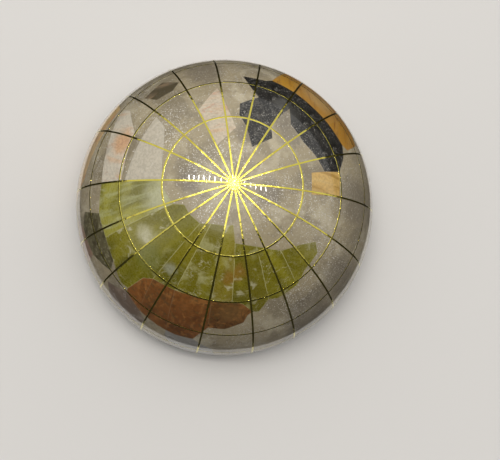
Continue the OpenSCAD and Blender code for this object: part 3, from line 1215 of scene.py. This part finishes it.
@dataclass
class Inlay:
    """The stones and the ocean between them, ground and polished to one round face."""

    globe: Globe
    shop: Workshop
    seam_width: float = 0.11 * MM
    face_slack: float = 3e-6
    weld: float = 1e-6
    pieces: list[bpy.types.Object] = field(default_factory=list)

    def build(self, nodes: dict[str, bpy.types.Object]) -> None:
        """Makes a finished piece for the ocean and for each slab.

        Args:
            nodes: The CAD nodes by name.
        """
        for name, node in nodes.items():
            if name == "ocean_filling":
                piece, _ = self.ground_piece("ocean_shell_filling", node)
                self.dress(piece, name, "ocean", ShellAndGlitter().make(self.shop))
            elif name.startswith("slab_"):
                kind = name.removeprefix("slab_")
                piece, direction = self.ground_piece("stone_" + kind, node)
                material = STONES[kind].make(self.shop, "stone_" + kind, direction)
                self.dress(piece, name, "stone_" + kind, material)

    def ground_piece(self, name: str, node: bpy.types.Object) -> tuple[bpy.types.Object, Vector]:
        """Copies a CAD solid's mesh, insets its face for the seam and rounds it truly.

        Args:
            name: Name of the new piece.
            node: The CAD node.

        Returns:
            The piece and the direction of its middle.
        """
        mesh = node.data.copy()
        mesh.name = name
        mesh.materials.clear()
        piece = bpy.data.objects.new(name, mesh)
        bpy.context.scene.collection.objects.link(piece)
        Bench.take(piece)
        if mesh.has_custom_normals:
            bpy.ops.mesh.customdata_custom_splitnormals_clear()
        Bench.edit(piece)
        bpy.ops.mesh.remove_doubles(threshold=self.weld)
        Bench.leave()
        _, distances = self.globe.outward(Bench.points(mesh))
        on_face = distances > self.globe.radius - self.face_slack
        outer = np.array([all(on_face[corner] for corner in polygon.vertices) for polygon in mesh.polygons])
        Bench.mark(piece, np.zeros(len(mesh.vertices), bool), outer)
        Bench.edit(piece, "FACE", everything=False)
        bpy.ops.mesh.inset(thickness=self.seam_width, use_even_offset=True, use_relative_offset=False)
        Bench.leave()
        return piece, self.polish(mesh)

    def polish(self, mesh: bpy.types.Mesh) -> Vector:
        """Puts the inset face on the sphere, marks its seam and sets its normals.

        Args:
            mesh: The mesh, with its inset faces selected.

        Returns:
            The direction of the face's middle.
        """
        inner = np.zeros(len(mesh.vertices), bool)
        for polygon in mesh.polygons:
            if polygon.select:
                inner[list(polygon.vertices)] = True
        face = [
            polygon.select or any(inner[corner] for corner in polygon.vertices) for polygon in mesh.polygons
        ]
        on_face = np.zeros(len(mesh.vertices), bool)
        for polygon, flag in zip(mesh.polygons, face):
            if flag:
                on_face[list(polygon.vertices)] = True
        points = Bench.points(mesh)
        directions, _ = self.globe.outward(points)
        points[on_face] = np.array(self.globe.centre) + directions[on_face] * self.globe.radius
        mesh.vertices.foreach_set("co", points.ravel())
        seam = mesh.attributes.new("seam", "FLOAT", "POINT")
        edge = on_face & ~inner & ~self.globe.by_wire(directions)
        seam.data.foreach_set("value", edge.astype(np.float32))
        mesh.polygons.foreach_set("use_smooth", np.ones(len(mesh.polygons), bool))
        mesh.update()
        normals = []
        for polygon, flag in zip(mesh.polygons, face):
            for vertex in polygon.vertices:
                normals.append(tuple(directions[vertex]) if flag else tuple(polygon.normal))
        mesh.normals_split_custom_set(normals)
        return Vector(directions[on_face].mean(axis=0))

    def dress(self, piece: bpy.types.Object, node: str, slot: str, material: bpy.types.Material) -> None:
        """Gives a piece its material and its place in the frame.

        Args:
            piece: The finished piece.
            node: The CAD node that it stands for.
            slot: The record's material slot; not used.
            material: The piece's material.
        """
        piece.data.materials.append(material)
        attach(piece, "root")
        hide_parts(node)
        self.pieces.append(piece)
        LOG.info("%s: %d faces, for %s", piece.name, len(piece.data.polygons), node)


@dataclass
class WireCage:
    """The brass wires: meridians mitred at the pole, and parallels round it."""

    globe: Globe
    shop: Workshop
    meridian_stand: float = 0.05 * MM
    meridian_depth: float = 0.3 * MM
    parallel_stand: float = 0.025 * MM
    parallel_depth: float = 0.6 * MM
    edge_round: float = 0.02 * MM
    meridian_crown: float = 0.02 * MM
    parallel_crown: float = 0.024 * MM
    crown_cuts: int = 7
    corner_steps: int = 3
    arch_steps: int = 64
    ring_steps: int = 192
    smooth_below: float = math.radians(50)
    at_edge: float = 0.999
    cut_slack: float = 1e-9
    past_pole: float = math.radians(3)
    pieces: list[bpy.types.Object] = field(default_factory=list)

    def build(self) -> None:
        """Makes every wire and gives it its material."""
        brass = Brass().make(self.shop)
        arch = self.swept_arch()
        for number in range(len(self.globe.meridians)):
            self.dress(self.meridian(arch, number), f"wire_meridian_{number + 1:02d}", brass)
        bpy.data.objects.remove(arch)
        for number, latitude in enumerate(self.globe.parallels, 1):
            ring = self.parallel(f"brass_parallel_{number}", latitude)
            self.dress(ring, f"wire_parallel_{number}", brass)

    def profile(self, name: str, inner: float, outer: float, turn: float, crown: float) -> bpy.types.Object:
        """Draws a wire's cross section on the equator at azimuth 0, crowned and with its corners rounded.

        Args:
            name: Name of the new object.
            inner: Distance of its inner side from the globe's centre.
            outer: Distance of its outer side.
            turn: Angle of the section about the line out from the centre.
            crown: How much lower its outer side is at the edges.

        Returns:
            The object, with one flat face.
        """
        Bench.clear()
        middle = self.globe.centre + Vector(((inner + outer) / 2, 0, 0))
        bpy.ops.mesh.primitive_plane_add(size=1.0, location=middle, rotation=(turn, 0, 0))
        piece = bpy.context.object
        piece.name = piece.data.name = name
        piece.scale = (outer - inner, self.globe.wire_width, 1.0)
        bpy.ops.object.transform_apply(location=True, rotation=True, scale=True)
        corners = Bench.points(piece.data)[:, 0] > (inner + outer) / 2
        Bench.mark(piece, corners)
        for edge in piece.data.edges:
            edge.select = all(corners[list(edge.vertices)])
        Bench.edit(piece, "EDGE", everything=False)
        bpy.ops.mesh.subdivide(number_cuts=self.crown_cuts)
        Bench.leave()
        points = Bench.points(piece.data)
        outside = points[:, 0] > (inner + outer) / 2
        aside = points - np.array(middle)
        aside = np.hypot(aside[:, 1], aside[:, 2]) / (self.globe.wire_width / 2)
        points[outside, 0] -= crown * aside[outside] ** 2
        piece.data.vertices.foreach_set("co", points.ravel())
        piece.data.update()
        Bench.mark(piece, outside & (aside > self.at_edge))
        Bench.edit(piece, "VERT", everything=False)
        bpy.ops.mesh.bevel(offset=self.edge_round, segments=self.corner_steps, affect="VERTICES")
        Bench.leave()
        return piece

    def swept_arch(self) -> bpy.types.Object:
        """Sweeps a meridian's section from the equator to just past the pole.

        Returns:
            The arch at azimuth 0, open at no end.
        """
        radius = self.globe.radius
        inner, outer = radius - self.meridian_depth, radius + self.meridian_stand
        arch = self.profile("arch", inner, outer, 0.0, self.meridian_crown)
        angle = math.pi / 2 + self.past_pole
        Bench.edit(arch)
        bpy.ops.mesh.spin(steps=self.arch_steps, angle=angle, center=self.globe.centre, axis=(0, 1, 0))
        Bench.leave()
        Bench.close(arch)
        return arch

    def meridian(self, arch: bpy.types.Object, number: int) -> bpy.types.Object:
        """Copies the arch, mitres it against its neighbours and turns it to its longitude.

        Args:
            arch: The swept arch.
            number: The wire's number, from 0.

        Returns:
            The wire.
        """
        lines = self.globe.meridians
        here = lines[number]
        east = math.radians((lines[(number + 1) % len(lines)] - here) % 360 / 2)
        west = math.radians((here - lines[number - 1]) % 360 / 2)
        piece = bpy.data.objects.new(f"brass_meridian_{number + 1:02d}", arch.data.copy())
        piece.data.name = piece.name
        bpy.context.scene.collection.objects.link(piece)
        for normal in ((-math.sin(east), math.cos(east), 0.0), (-math.sin(west), -math.cos(west), 0.0)):
            Bench.edit(piece)
            bpy.ops.mesh.bisect(
                plane_co=self.globe.centre, plane_no=normal,
                use_fill=True, clear_outer=True, threshold=self.cut_slack,
            )
            Bench.leave()
        Bench.close(piece)
        piece.data.transform(Matrix.Rotation(math.radians(here + self.globe.greenwich), 4, "Z"))
        return piece

    def parallel(self, name: str, latitude: float) -> bpy.types.Object:
        """Sweeps a parallel's section round the pole.

        Args:
            name: Name of the wire.
            latitude: Its latitude in degrees.

        Returns:
            The closed ring.
        """
        radius = self.globe.radius
        inner, outer = radius - self.parallel_depth, radius + self.parallel_stand
        ring = self.profile(name, inner, outer, math.pi / 2, self.parallel_crown)
        to_centre = Matrix.Translation(-self.globe.centre)
        lift = to_centre.inverted() @ Matrix.Rotation(math.radians(-latitude), 4, "Y") @ to_centre
        ring.data.transform(lift)
        Bench.edit(ring)
        bpy.ops.mesh.spin(
            steps=self.ring_steps, angle=2 * math.pi, center=self.globe.centre, axis=(0, 0, 1)
        )
        bpy.ops.mesh.select_all(action="SELECT")
        bpy.ops.mesh.remove_doubles(threshold=SAME_POINT)
        Bench.leave()
        self.drop_inner_faces(ring)
        Bench.close(ring)
        return ring

    def drop_inner_faces(self, ring: bpy.types.Object) -> None:
        """Deletes the section faces that the sweep left inside a ring.

        Args:
            ring: The swept ring.
        """
        normals = np.array([polygon.normal for polygon in ring.data.polygons])
        middles = np.array([polygon.center for polygon in ring.data.polygons])
        round_way = np.stack([-middles[:, 1], middles[:, 0], 0 * middles[:, 0]], axis=1)
        round_way /= np.linalg.norm(round_way, axis=1)[:, None]
        across = np.abs((normals * round_way).sum(axis=1)) > FACES_STRAIGHT
        if across.any():
            Bench.mark(ring, np.zeros(len(ring.data.vertices), bool), across)
            Bench.edit(ring, "FACE", everything=False)
            bpy.ops.mesh.delete(type="ONLY_FACE")
            Bench.leave()

    def dress(self, piece: bpy.types.Object, node: str, brass: bpy.types.Material) -> None:
        """Shades a wire, and gives it its material and its place in the frame.

        Args:
            piece: The wire.
            node: The CAD node that it stands for.
            brass: Its material.
        """
        Bench.take(piece)
        bpy.ops.object.shade_smooth_by_angle(angle=self.smooth_below)
        piece.data.materials.clear()
        piece.data.materials.append(brass)
        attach(piece, "root")
        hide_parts(node)
        self.pieces.append(piece)
        LOG.info("%s: %d faces, for %s", piece.name, len(piece.data.polygons), node)


@dataclass
class Underside:
    """The felt pad, and the core that it closes in."""

    shop: Workshop
    edge_round: float = 0.18 * MM
    ring_inset: float = 0.6 * MM
    sag: float = 0.06 * MM
    rim_points: int = 160
    rim_slack: float = 1e-6
    corner_steps: int = 4
    corner_angle: float = math.radians(40)
    smooth_below: float = math.radians(35)

    def build(self, nodes: dict[str, bpy.types.Object]) -> None:
        """Makes the pad and dresses the core.

        Args:
            nodes: The CAD nodes by name.
        """
        core = nodes["core_dome"]
        core.data.materials.clear()
        core.data.materials.append(CastStone().make(self.shop))
        LOG.info("core_dome: kept from the frame, with its own material")
        pad = self.pad()
        pad.data.materials.append(Felt().make(self.shop))
        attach(pad, "root")
        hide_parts("felt_pad")
        LOG.info("%s: %d faces", pad.name, len(pad.data.polygons))

    def pad(self) -> bpy.types.Object:
        """Cuts the pad round, softens its edges and presses its rim where the glue holds it.

        Returns:
            The pad.
        """
        low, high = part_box("felt_pad")
        radius, height = (high[0] - low[0]) / 2, high[2] - low[2]
        middle = (0, 0, low[2] + height / 2)
        Bench.clear()
        bpy.ops.mesh.primitive_cylinder_add(
            vertices=self.rim_points, radius=radius, depth=height, location=middle
        )
        pad = bpy.context.object
        pad.name = pad.data.name = "felt_underside"
        bpy.ops.object.transform_apply(location=True, rotation=True, scale=True)
        caps = np.array([abs(polygon.normal.z) > FACES_STRAIGHT for polygon in pad.data.polygons])
        Bench.mark(pad, np.zeros(len(pad.data.vertices), bool), caps)
        Bench.edit(pad, "FACE", everything=False)
        bpy.ops.mesh.inset(thickness=self.ring_inset, use_individual=True)
        bpy.ops.mesh.inset(thickness=self.ring_inset, use_individual=True)
        Bench.leave()
        points = Bench.points(pad.data)
        rim = np.hypot(points[:, 0], points[:, 1]) > radius - self.rim_slack
        points[rim & (points[:, 2] < middle[2]), 2] += self.sag
        pad.data.vertices.foreach_set("co", points.ravel())
        pad.data.update()
        bevel = pad.modifiers.new("soft edge", "BEVEL")
        bevel.width = self.edge_round
        bevel.segments = self.corner_steps
        bevel.limit_method = "ANGLE"
        bevel.angle_limit = self.corner_angle
        Bench.take(pad)
        bpy.ops.object.modifier_apply(modifier=bevel.name)
        bpy.ops.object.shade_smooth_by_angle(angle=self.smooth_below)
        return pad


@dataclass
class Studio:
    """The floor, the light and the camera, with places and sizes in metres and powers in watts."""

    globe: Globe
    floor_size: float = 6.0
    floor_colour: Colour = (0.66, 0.65, 0.64)
    floor_roughness: float = 0.8
    row_start: Place = (-0.43, 0.23, 0.8)
    row_end: Place = (0.39, 0.09, 0.8)
    row_count: int = 15
    row_watts: float = 1.25
    bar_width: float = 0.012
    bar_length: float = 0.05
    soft_place: Place = (0.03, 0.12, 0.9)
    soft_size: float = 1.2
    soft_watts: float = 2.8
    fill_place: Place = (-0.15, 0.3, 0.8)
    fill_size: float = 0.4
    fill_watts: float = 1.4
    lamp_colour: Colour = (1.0, 0.97, 0.92)
    room: float = 0.65
    room_colour: Colour = (1.0, 0.985, 0.96)
    backdrop: float = 0.6
    front: Place = (0.05, -0.999, 0.0)
    front_width: tuple[float, float] = (0.35, 0.7)
    front_top: tuple[float, float] = (0.82, 0.93)
    front_shade: float = 0.03
    horizon: tuple[float, float] = (-0.02, 0.1)
    horizon_shade: float = 0.5
    flag_radius: float = 0.085
    flag_foot: float = 0.047
    flag_height: float = 0.037
    flag_lift: float = 0.5 * MM
    flag_points: int = 96
    flag_colour: Colour = (0.01, 0.01, 0.013)
    flag_roughness: float = 0.9
    camera_right: Place = (0.99665, -0.00934, 0.08131)
    camera_back: Place = (-0.08184, -0.11378, 0.99013)
    # Right, up and back from the globe's centre, in radii of the globe.
    camera_away: Place = (0.172, -0.149, 5.5)
    camera_lens: float = 57.67
    camera_near: float = 0.01

    def build(self) -> None:
        """Sets up everything that isn't part of the object."""
        self.floor()
        self.flag()
        self.sky()
        self.lamps()
        self.camera()
        bpy.context.scene.view_settings.view_transform = "Standard"

    def paint(self, piece: bpy.types.Object, name: str, colour: Colour, roughness: float) -> None:
        """Gives a stage piece a plain material.

        Args:
            piece: The floor or the screen.
            name: The material's name.
            colour: Its colour.
            roughness: Its roughness.
        """
        material = bpy.data.materials.new(name)
        material.use_nodes = True
        graph = Graph(material.node_tree)
        shader = graph.add("BsdfPrincipled", {"Base Color": colour, "Roughness": roughness})
        graph.add("OutputMaterial", {"Surface": shader.outputs[0]})
        piece.data.materials.append(material)

    def floor(self) -> None:
        """Lays a plain pale floor."""
        Bench.clear()
        bpy.ops.mesh.primitive_plane_add(size=self.floor_size, location=(0, 0, 0))
        floor = bpy.context.object
        floor.name = "floor"
        self.paint(floor, "pale_floor", self.floor_colour, self.floor_roughness)

    def flag(self) -> None:
        """Stands a low black screen round the object, which only its gloss can see."""
        Bench.clear()
        bpy.ops.mesh.primitive_cone_add(
            vertices=self.flag_points, radius1=self.flag_foot, radius2=self.flag_radius,
            depth=self.flag_height, end_fill_type="NOTHING",
            location=(0, 0, self.flag_height / 2 + self.flag_lift),
        )
        screen = bpy.context.object
        screen.name = "black_flag"
        self.paint(screen, "black_cloth", self.flag_colour, self.flag_roughness)
        screen.visible_camera = False
        screen.visible_diffuse = False
        screen.visible_shadow = False

    def sky(self) -> None:
        """Lights the room evenly from above, with the side in front of the object in shade."""
        world = bpy.data.worlds.new("soft_room")
        bpy.context.scene.world = world
        world.use_nodes = True
        graph = Graph(world.node_tree)
        direction = graph.add("TexCoord").outputs["Generated"]
        height = graph.add("SeparateXYZ", {0: direction}).outputs["Z"]
        # A little more than 1 keeps the root above 0 straight overhead.
        flat = graph.maths("SQRT", graph.maths("SUBTRACT", 1.0001, graph.maths("POWER", height, 2.0)))
        front = graph.add("VectorMath", {0: direction, 1: self.front}, operation="DOT_PRODUCT")
        facing = graph.ease(graph.maths("DIVIDE", front.outputs["Value"], flat), *self.front_width)
        low = graph.ease(height, *self.front_top, 1.0, 0.0)
        shade = graph.maths("MULTIPLY", facing, low)
        horizon = graph.ease(height, *self.horizon, self.horizon_shade, 1.0)
        lit = graph.ease(shade, 0.0, 1.0, self.room, self.front_shade)
        level = graph.maths("MULTIPLY", horizon, lit)
        seen = graph.add("LightPath").outputs["Is Camera Ray"]
        strength = graph.ease(seen, 0.0, 1.0, level, self.backdrop)
        back = graph.add("Background", {"Color": self.room_colour, "Strength": strength})
        graph.add("OutputWorld", {"Surface": back.outputs[0]})

    def area(
        self, name: str, place: Vector, size: float, watts: float, length: float = 0.0
    ) -> bpy.types.Object:
        """Adds one light that faces the object.

        Args:
            name: Its name.
            place: Where it is.
            size: Its diameter, or its width where it is a bar.
            watts: Its power.
            length: A bar's length, front to back; 0 makes a disc.

        Returns:
            The light.
        """
        lamp = bpy.data.lights.new(name, "AREA")
        lamp.shape = "RECTANGLE" if length else "DISK"
        lamp.size = size
        if length:
            lamp.size_y = length
        lamp.energy = watts
        lamp.color = self.lamp_colour
        holder = bpy.data.objects.new(name, lamp)
        bpy.context.scene.collection.objects.link(holder)
        facing = (place - self.globe.centre).normalized()
        along = (Vector((0, 1, 0)) - facing * facing.y).normalized()
        turn = Matrix((along.cross(facing), along, facing)).transposed().to_4x4()
        holder.matrix_world = Matrix.Translation(place) @ turn
        return holder

    def lamps(self) -> None:
        """Adds a large soft light overhead, a fill light without reflections, and a row of small bars."""
        self.area("soft_light", Vector(self.soft_place), self.soft_size, self.soft_watts)
        fill = self.area("fill_light", Vector(self.fill_place), self.fill_size, self.fill_watts)
        fill.visible_glossy = False
        start, end = Vector(self.row_start), Vector(self.row_end)
        for number in range(self.row_count):
            place = start.lerp(end, number / (self.row_count - 1))
            watts = self.row_watts / self.row_count
            self.area(f"ceiling_lamp_{number + 1}", place, self.bar_width, watts, self.bar_length)

    def camera(self) -> None:
        """Places the camera."""
        right = Vector(self.camera_right).normalized()
        back = Vector(self.camera_back)
        back = (back - right * back.dot(right)).normalized()
        turn = Matrix((right, back.cross(right), back)).transposed()
        away = turn @ Vector(self.camera_away) * self.globe.radius
        data = bpy.data.cameras.new("camera")
        data.lens = self.camera_lens
        data.clip_start = self.camera_near
        holder = bpy.data.objects.new("camera", data)
        bpy.context.scene.collection.objects.link(holder)
        holder.matrix_world = Matrix.Translation(self.globe.centre + away) @ turn.to_4x4()
        bpy.context.scene.camera = holder


def plain(box: object) -> list[list[float]]:
    """Returns a box's two corners as lists of numbers."""
    return [[float(value) for value in corner] for corner in box]


def main() -> None:
    """Builds the looks around the frame, piece by piece."""
    logging.basicConfig(level=logging.INFO, format="%(name)s %(message)s")
    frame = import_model()
    low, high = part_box("core_dome")
    # The core is a half ball, so its height, to a hundredth of a millimetre, is its radius.
    globe = Globe(radius=round(high[2] - low[2], 5) + INLAY_THICKNESS, base=low[2])
    shop = Workshop(globe, Effects())
    inlay = Inlay(globe, shop)
    inlay.build(frame["nodes"])
    cage = WireCage(globe, shop)
    cage.build()
    Underside(shop).build(frame["nodes"])
    Studio(globe).build()
    LOG.info("%d inlaid pieces and %d wires", len(inlay.pieces), len(cage.pieces))


if __name__ == "__main__":
    main()
